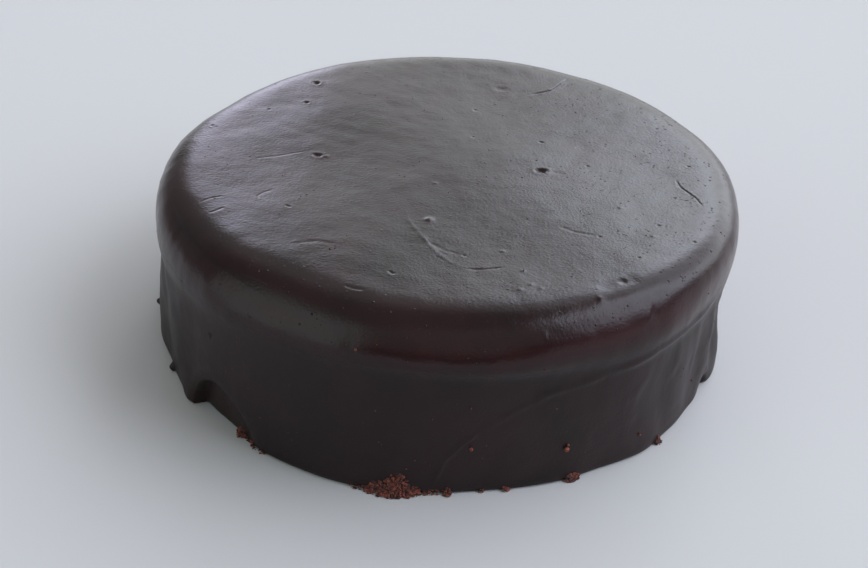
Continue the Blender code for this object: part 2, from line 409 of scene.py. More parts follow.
# %% Marks on the wall, with the ridge where the shoulder folded over
WAY_TO_MARKED_WALL = WAY_TO_WALL - 0.006
WALL_MARKS = (
    (((-22.0, 0.0452), (-30.0, 0.0442), (-37.0, 0.0434), (-44.5, 0.0428), (-51.0, 0.0412), (-60.0, 0.0402)),
     0.0016, 0.0006),
    (((-56.0, 0.0404), (-64.0, 0.0385), (-72.0, 0.0370)), 0.0014, 0.0004),
    (((-31.0, 0.0420), (-29.5, 0.0340), (-28.5, 0.0260), (-30.0, 0.0160)), 0.0024, 0.0004),
    (((-24.0, 0.0420), (-21.5, 0.0320), (-21.0, 0.0210)), 0.0020, 0.0004),
    (((-38.0, 0.0400), (-37.0, 0.0320), (-40.0, 0.0230)), 0.0024, 0.0003),
    (((-46.0, 0.0400), (-47.0, 0.0330), (-51.0, 0.0250)), 0.0024, 0.0002),
    (((-16.0, 0.0400), (-13.0, 0.0280), (-13.5, 0.0140)), 0.0022, 0.0004),
    (((-88.6, 0.0030), (-86.7, 0.0140), (-83.5, 0.0210), (-80.0, 0.0267)), 0.0008, 0.0005),
    (((-80.5, 0.0260), (-74.0, 0.0330), (-66.0, 0.0385)), 0.0012, 0.0002),
    (((-166.0, 0.0400), (-163.0, 0.0320), (-159.0, 0.0230)), 0.0036, 0.0005),
    (((-160.0, 0.0400), (-156.0, 0.0330), (-150.0, 0.0260)), 0.0036, 0.0004),
    (((-171.0, 0.0400), (-170.0, 0.0310), (-168.0, 0.0200)), 0.0030, 0.0004),
    (((-136.4, 0.0345), (-136.2, 0.0338)), 0.0009, -0.0004),
    (((-120.4, 0.0527),), 0.0013, -0.0005),
    (((-171.0, 0.0108), (-171.0, 0.0100)), 0.0009, 0.0016),
    (((-155.0, 0.0012),), 0.0014, 0.0018),
    (((-6.0, 0.0300), (-5.5, 0.0280)), 0.0014, 0.0012),
)


# %% How near a point is to a mark
def way_to_mark(spots, points):
    """(distance to the line through the points, share of the way along it), for every spot."""
    ends = [np.array(point) for point in points]
    if len(ends) == 1:
        return np.linalg.norm(spots - ends[0], axis=1), np.full(len(spots), 0.5)
    lengths = [np.linalg.norm(end - start) for start, end in zip(ends, ends[1:])]
    nearest = np.full(len(spots), np.inf)
    share = np.zeros(len(spots))
    passed = 0.0
    for start, end, length in zip(ends, ends[1:], lengths):
        part = np.clip((spots - start) @ (end - start) / length**2, 0.0, 1.0)
        distance = np.linalg.norm(spots - start - part[:, None] * (end - start), axis=1)
        closer = distance < nearest
        nearest = np.where(closer, distance, nearest)
        share = np.where(closer, (passed + part * length) / sum(lengths), share)
        passed += length
    return nearest, share


LIP_PLACE = 1.45
LIP_WIDTH = 0.5
LIP_SHARE = 0.12
END_FADE = 0.25


def mark_rise(spots, mark):
    """Height of one mark: a hollow with a low lip round it, or a soft bead. Lines fade at both ends."""
    points, half_width, rise = mark
    distance, share = way_to_mark(spots, points)
    across = distance / half_width
    if rise > 0.0:
        shape = np.exp(-(across**2))
    else:
        lip = LIP_SHARE * np.exp(-(((across - LIP_PLACE) / LIP_WIDTH) ** 2))
        shape = 1.0 - ease(across / 1.2) - lip
    if len(points) > 2:
        shape = shape * ease(np.minimum(share, 1.0 - share) / END_FADE)
    return rise * shape


def on_top(places):
    return places[:, :2]


def on_wall(places):
    """(way round, height) on the unrolled wall, in metres."""
    return np.stack([np.arctan2(places[:, 1], places[:, 0]) * NECK_RADIUS, places[:, 2]], axis=1)


def unrolled(mark):
    points, half_width, rise = mark
    return tuple((math.radians(azimuth) * NECK_RADIUS, height) for azimuth, height in points), half_width, rise


MARKS = (
    *((on_top, True, mark) for mark in TOP_MARKS),
    *((on_wall, False, unrolled(mark)) for mark in WALL_MARKS),
)


def marks_at(places, is_top):
    total = np.zeros(len(places))
    for chart, for_top, mark in MARKS:
        total += np.where(is_top == for_top, mark_rise(chart(places), mark), 0.0)
    return total


print(len(MARKS), "marks in the glaze")

# %% [markdown]
# ## A flat sheet of points for the coat
#
# The coat is first laid out flat, like a round of fondant before it is draped: rings of points whose
# distance from the middle is the way along the outline. Rings near the middle have few points and each
# further ring has eight more, so the triangles stay even. Where a mark or an arch is, the sheet is cut
# finer. A UV sphere would crowd its pole, and a fine grid everywhere would be far too heavy.

# %% Lay out the rings
RING_STEP = 0.00120
POINTS_PER_RING = 8
OUTER_COLUMNS = POINTS_PER_RING * round(TOP_FLAT_RADIUS / RING_STEP)


def ring_sizes():
    """(way along, number of points) of every ring, from the middle out to the inside of the hem."""
    rings = [(0.0, 1)]
    count = OUTER_COLUMNS // POINTS_PER_RING
    rings += [(TOP_FLAT_RADIUS * ring / count, POINTS_PER_RING * ring) for ring in range(1, count + 1)]
    edges = ((TOP_FLAT_RADIUS, WAY_TO_WALL, RING_STEP), (WAY_TO_WALL, WAY_TO_HEM, RING_STEP))
    for start, end, step in edges:
        steps = round((end - start) / step)
        rings += [(mix(start, end, part / steps), OUTER_COLUMNS) for part in range(1, steps + 1)]
    rings += [(mix(WAY_TO_HEM, ALONG[-1], part), OUTER_COLUMNS) for part in (0.08, 0.16, 0.24, 0.4, 1.0)]
    return rings


def stitch(inner, outer):
    """Triangles between two rings of points that may differ in number, walking round both."""
    faces = []
    at_inner = at_outer = 0
    while at_inner < len(inner) or at_outer < len(outer):
        next_inner = (at_inner + 1) / len(inner)
        next_outer = (at_outer + 1) / len(outer)
        here = inner[at_inner % len(inner)]
        there = outer[at_outer % len(outer)]
        if len(inner) > 1 and (next_inner < next_outer or at_outer == len(outer)):
            faces.append((here, there, inner[(at_inner + 1) % len(inner)]))
            at_inner += 1
        else:
            faces.append((here, there, outer[(at_outer + 1) % len(outer)]))
            at_outer += 1
            if len(inner) == 1 and at_outer == len(outer):
                break
    return faces


def flat_sheet():
    points = []
    faces = []
    before = None
    for along, count in ring_sizes():
        first = len(points)
        turns = [2.0 * math.pi * column / count for column in range(count)]
        points += [(along * math.cos(turn), along * math.sin(turn), 0.0) for turn in turns]
        ring = list(range(first, first + count))
        if before:
            faces += stitch(before, ring)
        before = ring
    sheet = bmesh.new()
    made = [sheet.verts.new(point) for point in points]
    for corners in faces:
        sheet.faces.new([made[corner] for corner in corners])
    return sheet


sheet = flat_sheet()
print("the flat sheet has", len(sheet.verts), "points and", len(sheet.faces), "triangles")


# %% Cut the sheet finer at the marks
FINEST_EDGE = 0.00042
ARCH_FINE_EDGE = 0.0007
MARK_REACH = 2.0
ARCH_REACH = 0.0035


def way_and_turn(flat):
    return np.hypot(flat[:, 0], flat[:, 1]), np.degrees(np.arctan2(flat[:, 1], flat[:, 0]))


def wanted_edge(flat):
    """The length that an edge may have at each place of the flat sheet."""
    along, azimuth = way_and_turn(flat)
    places = settled(along, azimuth)
    is_top = along < WAY_TO_MARKED_WALL
    wanted = np.full(len(flat), 1.0)
    for chart, for_top, (points, half_width, _) in MARKS:
        distance, _ = way_to_mark(chart(places), points)
        near = (distance < MARK_REACH * half_width) & (is_top == for_top)
        wanted = np.where(near, np.minimum(wanted, max(FINEST_EDGE, 0.45 * half_width)), wanted)
    height = np.interp(along, ALONG, OUTLINE_HEIGHT)
    for arch in ARCHES:
        under, _ = way_under(azimuth, height, arch)
        near = (np.abs(under) < ARCH_REACH) & (along < WAY_TO_HEM)
        wanted = np.where(near, np.minimum(wanted, ARCH_FINE_EDGE), wanted)
    return wanted


def cut_finer(sheet, passes=3):
    for _ in range(passes):
        sheet.edges.ensure_lookup_table()
        ends = np.array([[*edge.verts[0].co, *edge.verts[1].co] for edge in sheet.edges])
        lengths = np.linalg.norm(ends[:, :3] - ends[:, 3:], axis=1)
        middles = (ends[:, :3] + ends[:, 3:]) / 2.0
        long_ones = np.nonzero(lengths > 1.35 * wanted_edge(middles))[0]
        if not len(long_ones):
            break
        chosen = [sheet.edges[index] for index in long_ones]
        bmesh.ops.subdivide_edges(sheet, edges=chosen, cuts=1)
        bmesh.ops.triangulate(sheet, faces=[face for face in sheet.faces if len(face.verts) > 3])
        print("cut", len(chosen), "edges, now", len(sheet.faces), "triangles")


cut_finer(sheet)

# %% [markdown]
# ## Drape the sheet and close the coat
#
# Every point of the sheet goes to its place on the settled form and then moves along the surface's own
# direction by the height of the marks there. The inner edge of the hem is then drawn up as the inside
# of the coat, a plain drum that leaves room for the sponge, and closed at a pole.

# %% Drape
NORMAL_STEP = 0.0004
WALL_TURN_STEP = 0.25


def facing(along, azimuth):
    """The outward direction of the settled form, from two short steps across it."""
    down = settled(along + NORMAL_STEP, azimuth) - settled(np.maximum(along - NORMAL_STEP, 0.0), azimuth)
    side = settled(along, azimuth + WALL_TURN_STEP) - settled(along, azimuth - WALL_TURN_STEP)
    across = np.cross(down, side)
    length = np.linalg.norm(across, axis=1, keepdims=True)
    level = np.broadcast_to([0.0, 0.0, 1.0], across.shape)
    return np.where(length > 1e-12, across / np.maximum(length, 1e-12), level)


def drape(sheet):
    flat = np.array([vertex.co for vertex in sheet.verts])
    along, azimuth = way_and_turn(flat)
    places = settled(along, azimuth)
    is_top = along < WAY_TO_MARKED_WALL
    on_coat = (along < WAY_TO_HEM + 0.0005).astype(float)
    places += facing(along, azimuth) * (marks_at(places, is_top) * on_coat)[:, None]
    places[:, 2] = np.maximum(places[:, 2], 0.0)
    outside = sheet.verts.layers.float.new("outside")
    shares = 1.0 - rise_over((WAY_TO_HEM - 0.004, WAY_TO_HEM), along)
    for vertex, place, share in zip(sheet.verts, places, shares):
        vertex.co = place
        vertex[outside] = share
    return along


drape(sheet)
print("draped", len(sheet.verts), "points")


# %% Close the inside
def close_inside(sheet):
    """Draws the hem's inner edge up along a plain drum and over to a pole."""
    inner_outline = [(1.0, DRUM_HEIGHT / 3.0), (1.0, DRUM_HEIGHT * 2.0 / 3.0), (1.0, DRUM_HEIGHT)]
    inner_outline += [(share, DRUM_HEIGHT) for share in (0.75, 0.5, 0.25)]
    edge = [edge for edge in sheet.edges if edge.is_boundary]
    for share, height in inner_outline:
        made = bmesh.ops.extrude_edge_only(sheet, edges=edge)["geom"]
        edge = [part for part in made if isinstance(part, bmesh.types.BMEdge)]
        for vertex in [part for part in made if isinstance(part, bmesh.types.BMVert)]:
            turn = math.atan2(vertex.co.y, vertex.co.x)
            x = share * DRUM_RADIUS * math.cos(turn)
            y = share * DRUM_RADIUS * math.sin(turn)
            vertex.co = (x, y, height + height / TOP_HEIGHT * slope_at(x, y))
    bmesh.ops.edgeloop_fill(sheet, edges=edge)
    bmesh.ops.poke(sheet, faces=[face for face in sheet.faces if len(face.verts) > 4])
    bmesh.ops.triangulate(sheet, faces=[face for face in sheet.faces if len(face.verts) > 3])
    bmesh.ops.recalc_face_normals(sheet, faces=sheet.faces)


close_inside(sheet)
coat_mesh = bpy.data.meshes.new("coat")
sheet.to_mesh(coat_mesh)
open_edges = sum(len(edge.link_faces) != 2 for edge in sheet.edges)
print("the coat has", len(sheet.faces), "triangles and", open_edges, "open edges,",
      f"volume {1e6 * sheet.calc_volume(signed=True):.0f} ml")
sheet.free()


# %% [markdown]
# ## Small helpers for node trees
#
# The rest is grown or coloured by nodes. One helper adds a node and wires it up, another starts a tree
# with named inputs, and a third runs such a tree on a mesh once and keeps the plain result.

# %% Node helpers
def add(tree, kind, wires=None, **settings):
    """A node with its own settings. Wires are its inputs by name or number: a value or an output."""
    node = tree.nodes.new(kind)
    for name, value in settings.items():
        setattr(node, name, value)
    for name, value in (wires or {}).items():
        if isinstance(value, bpy.types.NodeSocket):
            tree.links.new(value, node.inputs[name])
        else:
            node.inputs[name].default_value = value
    return node


def start_tree(name, kind, inputs, outputs):
    tree = bpy.data.node_groups.new(name, kind)
    for label, socket_kind in inputs:
        tree.interface.new_socket(label, in_out="INPUT", socket_type=socket_kind)
    for label, socket_kind in outputs:
        tree.interface.new_socket(label, in_out="OUTPUT", socket_type=socket_kind)
    return tree, tree.nodes.new("NodeGroupInput").outputs


def math_node(tree, operation, *values):
    return add(tree, "ShaderNodeMath", dict(enumerate(values)), operation=operation).outputs[0]


def grown(name, base_mesh, tree, values):
    """Runs a tree on a mesh once, with its named inputs set, and returns the plain result."""
    holder = bpy.data.objects.new(name + "_base", base_mesh)
    bpy.context.scene.collection.objects.link(holder)
    modifier = holder.modifiers.new("Grow", "NODES")
    modifier.node_group = tree
    for item in tree.interface.items_tree:
        if item.in_out == "INPUT" and item.name in values:
            modifier[item.identifier] = values[item.name]
    graph = bpy.context.evaluated_depsgraph_get()
    mesh = bpy.data.meshes.new_from_object(holder.evaluated_get(graph))
    bpy.data.objects.remove(holder, do_unlink=True)
    mesh.name = name
    piece = bpy.data.objects.new(name, mesh)
    bpy.context.scene.collection.objects.link(piece)
    print(name, "has", len(mesh.vertices), "points and", len(mesh.polygons), "faces")
    return piece


def finish_tree(tree, geometry, material):
    """Every tree ends alike: instances made real, a material set, and out."""
    real = add(tree, "GeometryNodeRealizeInstances", {"Geometry": geometry})
    painted = add(tree, "GeometryNodeSetMaterial", {"Geometry": real.outputs[0], "Material": material})
    add(tree, "NodeGroupOutput", {"Geometry": painted.outputs[0]})


GEOMETRY = "NodeSocketGeometry"
NUMBER = "NodeSocketFloat"
WHOLE = "NodeSocketInt"
VECTOR = "NodeSocketVector"
MATERIAL = "NodeSocketMaterial"
COLOUR = "NodeSocketColor"

# %% [markdown]
# ## Grain that glaze and crumbs share
#
# Both the glaze and the sponge are made of fine particles, the one ground and melted, the other baked.
# One shader group gives the uneven grain of both: a fine noise for the height of the surface, and a
# slow one for patches of tone. Each material places it with its own sizes.

# %% The grain group
grain_group, grain_in = start_tree(
    "uneven_grain",
    "ShaderNodeTree",
    (("Vector", VECTOR), ("Fine Scale", NUMBER), ("Slow Scale", NUMBER), ("Roughness", NUMBER)),
    (("Fine", NUMBER), ("Slow", NUMBER)),
)
fine_noise = add(
    grain_group,
    "ShaderNodeTexNoise",
    {"Vector": grain_in["Vector"], "Scale": grain_in["Fine Scale"], "Detail": 4.0,
     "Roughness": grain_in["Roughness"]},
)
slow_noise = add(
    grain_group,
    "ShaderNodeTexNoise",
    {"Vector": grain_in["Vector"], "Scale": grain_in["Slow Scale"], "Detail": 3.0, "Distortion": 0.6},
)
add(grain_group, "NodeGroupOutput", {"Fine": fine_noise.outputs[0], "Slow": slow_noise.outputs[0]})


def grain(tree, vector, fine_scale, slow_scale, roughness=0.55):
    node = add(tree, "ShaderNodeGroup", node_tree=grain_group)
    tree.links.new(vector, node.inputs["Vector"])
    node.inputs["Fine Scale"].default_value = fine_scale
    node.inputs["Slow Scale"].default_value = slow_scale
    node.inputs["Roughness"].default_value = roughness
    return node.outputs["Fine"], node.outputs["Slow"]


# %% [markdown]
# ## The glaze finish
#
# Set chocolate glaze is almost black with a red-brown depth, and satin: its skin mirrors windows, but softly, because
# sugar grains make it slightly rough. The colour is nearly all in the reflection, so the base is kept very dark. A
# redder band is painted into the base colour round the shoulder: this is painted light, standing in for the light that
# falls on the shoulder and brings out the red-brown there. Roughness wanders a little and a fine bump breaks up the
# mirror.

# %% Glaze
GLAZE_DARK = (0.009, 0.0036, 0.0036, 1.0)
GLAZE_BROWN = (0.018, 0.0062, 0.0066, 1.0)
GLAZE_PAINTED_LIGHT_RED = (0.029, 0.0070, 0.0078, 1.0)
# Painted light: the base turns redder in a band round the shoulder, centred at this height, standing in for the light
# that falls there.
PAINTED_LIGHT_BAND_HEIGHT = 0.0550
PAINTED_LIGHT_BAND_SPAN = 0.0090
TOP_ROUGHNESS = 0.18
WALL_ROUGHNESS = 0.45
DULL_SPAN = (0.038, 0.052)
ROUGHNESS_WANDER = 0.03
GLAZE_IOR = 1.38
GLAZE_GRAIN_SCALE = 1100.0
GLAZE_PATCH_SCALE = 38.0
GLAZE_BUMP = 0.30
GLAZE_BUMP_DEPTH = 0.0003
STREAK_STRETCH = (350.0, 600.0, 600.0)
STREAK_DEPTH = 0.00007


def start_material(name, colour):
    material = bpy.data.materials.new(name)
    material.use_nodes = True
    material.diffuse_color = colour
    tree = material.node_tree
    shader = tree.nodes["Principled BSDF"]
    vector = tree.nodes.new("ShaderNodeTexCoord").outputs["Object"]
    return material, tree, shader, vector


def colour_between(tree, share, first, second):
    node = add(tree, "ShaderNodeMix", data_type="RGBA")
    tree.links.new(share, node.inputs[0])
    node.inputs[6].default_value = first
    node.inputs[7].default_value = second
    return node.outputs[2]


def number_between(tree, share, low, high, share_low=0.3, share_high=0.7):
    node = add(tree, "ShaderNodeMapRange")
    tree.links.new(share, node.inputs["Value"])
    node.inputs["From Min"].default_value = share_low
    node.inputs["From Max"].default_value = share_high
    node.inputs["To Min"].default_value = low
    node.inputs["To Max"].default_value = high
    return node.outputs["Result"]


def glaze_material():
    material, tree, shader, vector = start_material("chocolate_glaze_skin", GLAZE_DARK)
    fine, slow = grain(tree, vector, GLAZE_GRAIN_SCALE, GLAZE_PATCH_SCALE)
    tone = number_between(tree, slow, 0.0, 1.0)
    height = add(tree, "ShaderNodeSeparateXYZ", {0: vector}).outputs[2]
    # Painted light: a redder base in a band round the shoulder, standing in for the light that falls on it.
    from_painted_light_band = math_node(tree, "ABSOLUTE", math_node(tree, "SUBTRACT", height, PAINTED_LIGHT_BAND_HEIGHT))
    painted_light_share = number_between(tree, from_painted_light_band, 1.0, 0.0, 0.0, PAINTED_LIGHT_BAND_SPAN)
    plain_tone = colour_between(tree, tone, GLAZE_DARK, GLAZE_BROWN)
    painted_light_redness = math_node(tree, "MULTIPLY", painted_light_share, math_node(tree, "MULTIPLY_ADD", tone, 0.5, 0.5))
    tone_with_painted_light = colour_between(tree, painted_light_redness, GLAZE_DARK, GLAZE_PAINTED_LIGHT_RED)
    tree.links.new(plain_tone, tone_with_painted_light.node.inputs[6])
    tree.links.new(tone_with_painted_light, shader.inputs["Base Color"])
    dullness = number_between(tree, height, WALL_ROUGHNESS, TOP_ROUGHNESS, *DULL_SPAN)
    wander = number_between(tree, slow, -ROUGHNESS_WANDER, ROUGHNESS_WANDER)
    tree.links.new(math_node(tree, "ADD", dullness, wander), shader.inputs["Roughness"])
    stretched = add(tree, "ShaderNodeVectorMath", {0: vector, 1: STREAK_STRETCH}, operation="MULTIPLY").outputs[0]
    streaks = add(tree, "ShaderNodeTexNoise", {"Vector": stretched, "Scale": 1.0, "Detail": 3.0}).outputs[0]
    streaked = add(tree, "ShaderNodeBump", {"Height": streaks, "Strength": GLAZE_BUMP, "Distance": STREAK_DEPTH})
    bump = add(tree, "ShaderNodeBump", {
        "Height": fine, "Strength": GLAZE_BUMP, "Distance": GLAZE_BUMP_DEPTH, "Normal": streaked.outputs[0],
    })
    tree.links.new(bump.outputs[0], shader.inputs["Normal"])
    shader.inputs["IOR"].default_value = GLAZE_IOR
    return material


glaze = glaze_material()

# %% [markdown]
# ## The crumb finish
#
# Dark chocolate sponge is warm brown, dull and open. The base colour is darker where the fine grain's bump is low, in
# the pores, and lighter between them: this is partly the crumb's own uneven tone and partly painted shade in the pores.
# The same group gives the pores. Each crumb also has a tone of its own, kept as an attribute.

# %% Sponge and crumbs
CRUMB_DARK = (0.022, 0.007, 0.006, 1.0)
CRUMB_LIGHT = (0.260, 0.062, 0.036, 1.0)
CRUMB_GRAIN_SCALE = 900.0
CRUMB_PATCH_SCALE = 160.0
CRUMB_BUMP = 0.7
CRUMB_BUMP_DEPTH = 0.0004
SPONGE_TONE = 0.25


def crumb_material():
    material, tree, shader, vector = start_material("chocolate_sponge_crumb", CRUMB_DARK)
    fine, slow = grain(tree, vector, CRUMB_GRAIN_SCALE, CRUMB_PATCH_SCALE, 0.7)
    own_tone = add(tree, "ShaderNodeAttribute", attribute_name="tone").outputs["Fac"]
    # Darker where the bump is low: partly the crumb's own tone, partly painted shade in the pores.
    tone = math_node(tree, "MULTIPLY", own_tone, number_between(tree, fine, 0.2, 1.2))
    tree.links.new(colour_between(tree, tone, CRUMB_DARK, CRUMB_LIGHT), shader.inputs["Base Color"])
    tree.links.new(number_between(tree, slow, 0.65, 0.95), shader.inputs["Roughness"])
    bump = add(tree, "ShaderNodeBump", {"Height": fine, "Strength": CRUMB_BUMP, "Distance": CRUMB_BUMP_DEPTH})
    tree.links.new(bump.outputs[0], shader.inputs["Normal"])
    return material


crumb = crumb_material()

# %% [markdown]
# ## The skin of the glaze
#
# A spatula leaves long shallow strokes on the top, and glaze that runs down leaves upright ones on the
# wall. Both are a noise drawn out along the stroke, so a node tree makes them: it moves each point
# along its normal by a stretched noise. The strokes on the top swing round a point behind the cake.

# %% Strokes of the spatula
STROKE_INPUTS = (
    ("Geometry", GEOMETRY), ("Swing Centre", VECTOR), ("Stroke Width", NUMBER), ("Stroke Length", NUMBER),
    ("Stroke Depth", NUMBER), ("Run Width", NUMBER), ("Run Length", NUMBER), ("Run Depth", NUMBER),
    ("Lump Width", NUMBER), ("Top Lumps", NUMBER), ("Wall Lumps", NUMBER), ("Seed", NUMBER),
    ("Material", MATERIAL),
)


def polar(tree, vector):
    """(distance from the upright axis, azimuth in radians, height) of a vector."""
    parts = add(tree, "ShaderNodeSeparateXYZ", {0: vector}).outputs
    across = math_node(tree, "SQRT", math_node(
        tree, "ADD", math_node(tree, "MULTIPLY", parts[0], parts[0]), math_node(tree, "MULTIPLY", parts[1], parts[1])
    ))
    return across, math_node(tree, "ARCTAN2", parts[1], parts[0]), parts[2]


def stroke_tree():
    tree, given = start_tree("hand_strokes", "GeometryNodeTree", STROKE_INPUTS, (("Geometry", GEOMETRY),))
    place = add(tree, "GeometryNodeInputPosition").outputs[0]
    normal = add(tree, "GeometryNodeInputNormal").outputs[0]
    outside = add(tree, "GeometryNodeInputNamedAttribute", {"Name": "outside"}, data_type="FLOAT").outputs[0]
    up = add(tree, "ShaderNodeSeparateXYZ", {0: normal}).outputs[2]

    from_centre = add(tree, "ShaderNodeVectorMath", {0: place, 1: given["Swing Centre"]}, operation="SUBTRACT")
    swing, swing_turn, _ = polar(tree, from_centre.outputs[0])
    swing_way = math_node(tree, "MULTIPLY", swing_turn, 0.12)
    top_spot = add(tree, "ShaderNodeCombineXYZ", {
        0: math_node(tree, "DIVIDE", swing, given["Stroke Width"]),
        1: math_node(tree, "DIVIDE", swing_way, given["Stroke Length"]),
    })
    top_noise = add(tree, "ShaderNodeTexNoise", {
        "Vector": top_spot.outputs[0], "W": given["Seed"], "Scale": 1.0, "Detail": 3.0, "Roughness": 0.6,
        "Distortion": 0.4,
    }, noise_dimensions="4D").outputs[0]
    top_rise = math_node(tree, "MULTIPLY", math_node(tree, "SUBTRACT", top_noise, 0.5), given["Stroke Depth"])
    top_share = math_node(tree, "SMOOTH_MAX", math_node(tree, "MULTIPLY_ADD", up, 2.0, -1.0), 0.0, 0.1)

    _, wall_turn, height = polar(tree, place)
    wall_spot = add(tree, "ShaderNodeCombineXYZ", {
        0: math_node(tree, "DIVIDE", math_node(tree, "COSINE", wall_turn), given["Run Width"]),
        1: math_node(tree, "DIVIDE", math_node(tree, "SINE", wall_turn), given["Run Width"]),
        2: math_node(tree, "DIVIDE", height, given["Run Length"]),
    })
    wall_noise = add(tree, "ShaderNodeTexNoise", {
        "Vector": wall_spot.outputs[0], "W": given["Seed"], "Scale": 1.0, "Detail": 3.0, "Roughness": 0.55,
    }, noise_dimensions="4D").outputs[0]
    wall_rise = math_node(tree, "MULTIPLY", math_node(tree, "SUBTRACT", wall_noise, 0.5), given["Run Depth"])
    wall_share = math_node(tree, "SUBTRACT", 1.0, top_share)

    lump_scale = math_node(tree, "DIVIDE", 1.0, given["Lump Width"])
    lump_noise = add(tree, "ShaderNodeTexNoise", {
        "Vector": place, "W": given["Seed"], "Scale": lump_scale, "Detail": 2.0, "Roughness": 0.5,
    }, noise_dimensions="4D").outputs[0]
    lumps = math_node(tree, "ADD", math_node(tree, "MULTIPLY", given["Top Lumps"], top_share),
                      math_node(tree, "MULTIPLY", given["Wall Lumps"], wall_share))
    lump_rise = math_node(tree, "MULTIPLY", math_node(tree, "SUBTRACT", lump_noise, 0.5), lumps)
    rise = math_node(tree, "ADD", math_node(tree, "MULTIPLY", top_rise, top_share),
                     math_node(tree, "MULTIPLY", wall_rise, wall_share))
    rise = math_node(tree, "ADD", rise, lump_rise)
    offset = add(tree, "ShaderNodeVectorMath", {0: normal, "Scale": math_node(tree, "MULTIPLY", rise, outside)},
                 operation="SCALE")
    moved = add(tree, "GeometryNodeSetPosition", {"Geometry": given["Geometry"], "Offset": offset.outputs[0]})
    smooth = add(tree, "GeometryNodeSetShadeSmooth", {"Geometry": moved.outputs[0]})
    finish_tree(tree, smooth.outputs[0], given["Material"])
    return tree


coat = grown("glaze", coat_mesh, stroke_tree(), {
    "Swing Centre": (0.010, 0.120, 0.0),
    "Stroke Width": 0.0045,
    "Stroke Length": 0.040,
    "Stroke Depth": 0.00012,
    "Run Width": 0.090,
    "Run Length": 0.030,
    "Run Depth": 0.0005,
    "Lump Width": 0.014,
    "Top Lumps": 0.00050,
    "Wall Lumps": 0.0010,
    "Seed": 3.0,
    "Material": glaze,
})

# %% [markdown]
# ## Pimples in the skin
#
# Sugar grains and tiny bubbles under the skin stand up as pimples, hundreds of them, and closest on the
# right and in front. They are finer than the coat's own triangles, so each is a low dome of its own. A
# node tree drops the domes on the top and the shoulder, thickly where a slow noise and the place say so.

# %% Drop the pimples
PIMPLE_INPUTS = (
    ("Geometry", GEOMETRY), ("Density", NUMBER), ("Thick Side", VECTOR), ("Cluster Scale", NUMBER),
    ("Smallest", NUMBER), ("Largest", NUMBER), ("Flatness", NUMBER), ("Seed", WHOLE), ("Material", MATERIAL),
)


def random_number(tree, low, high, seed):
    return add(tree, "FunctionNodeRandomValue", {2: low, 3: high, "Seed": seed}, data_type="FLOAT").outputs[1]


def pimple_tree():
    tree, given = start_tree("glaze_pimples", "GeometryNodeTree", PIMPLE_INPUTS, (("Geometry", GEOMETRY),))
    place = add(tree, "GeometryNodeInputPosition").outputs[0]
    normal = add(tree, "GeometryNodeInputNormal").outputs[0]
    up = add(tree, "ShaderNodeSeparateXYZ", {0: normal}).outputs[2]
    is_top = add(tree, "ShaderNodeMapRange", {"Value": up, "From Min": 0.2, "From Max": 0.7}).outputs["Result"]
    height = add(tree, "ShaderNodeSeparateXYZ", {0: place}).outputs[2]
    is_outside = math_node(tree, "GREATER_THAN", height, SHOULDER_HEIGHT)
    side = add(tree, "ShaderNodeVectorMath", {0: place, 1: given["Thick Side"]}, operation="DOT_PRODUCT")
    side_share = add(tree, "ShaderNodeMapRange", {
        "Value": side.outputs["Value"], "From Min": -1.0, "From Max": 1.0, "To Min": 0.15, "To Max": 1.0,
    }).outputs["Result"]
    clusters = add(tree, "ShaderNodeTexNoise", {"Vector": place, "Scale": given["Cluster Scale"], "Detail": 2.0})
    cluster_share = add(tree, "ShaderNodeMapRange", {
        "Value": clusters.outputs[0], "From Min": 0.40, "From Max": 0.65, "To Min": 0.15, "To Max": 1.0,
    }).outputs["Result"]
    density = math_node(tree, "MULTIPLY", math_node(tree, "MULTIPLY", is_top, is_outside),
                        math_node(tree, "MULTIPLY", side_share, cluster_share))
    scattered_points = add(tree, "GeometryNodeDistributePointsOnFaces", {
        "Mesh": given["Geometry"], "Density": math_node(tree, "MULTIPLY", density, given["Density"]),
        "Seed": given["Seed"],
    }).outputs
    luck = math_node(tree, "POWER", random_number(tree, 0.0, 1.0, given["Seed"]), 2.5)
    size = add(tree, "ShaderNodeMapRange", {
        "Value": luck, "To Min": given["Smallest"], "To Max": given["Largest"],
    }).outputs["Result"]
    flat = add(tree, "ShaderNodeCombineXYZ", {0: 1.0, 1: 1.0, 2: given["Flatness"]}).outputs[0]
    dome = add(tree, "GeometryNodeMeshIcoSphere", {"Radius": 0.5, "Subdivisions": 1}).outputs["Mesh"]
    placed = add(tree, "GeometryNodeInstanceOnPoints", {
        "Points": scattered_points["Points"], "Instance": dome, "Rotation": scattered_points["Rotation"],
        "Scale": add(tree, "ShaderNodeVectorMath", {0: flat, "Scale": size}, operation="SCALE").outputs[0],
    })
    smooth = add(tree, "GeometryNodeSetShadeSmooth", {"Geometry": placed.outputs[0]})
    finish_tree(tree, smooth.outputs[0], given["Material"])
    return tree


pimples = grown("pimples", coat.data, pimple_tree(), {
    "Density": 220000.0,
    "Thick Side": (9.0, -6.0, 0.0),
    "Cluster Scale": 45.0,
    "Smallest": 0.00030,
    "Largest": 0.0011,
    "Flatness": 0.11,
    "Seed": 6,
    "Material": glaze,
})

# %% [markdown]
# ## The sponge drum
#
# Inside the coat is one drum of sponge. It shows only from below, but it is a real piece, so it is made
# whole: a cylinder whose top slopes like the glaze and whose skin is pitted by pores. That shape
# follows a rule, so a node tree turns out the whole drum.

# %% Grow the drum
DRUM_GAP = 0.0003
DRUM_INPUTS = (
    ("Geometry", GEOMETRY), ("Radius", NUMBER), ("Height", NUMBER), ("Columns", WHOLE), ("Rows", WHOLE),
    ("Rings", WHOLE), ("Slope", VECTOR), ("Pore Scale", NUMBER), ("Pore Depth", NUMBER), ("Seed", NUMBER),
    ("Material", MATERIAL),
)


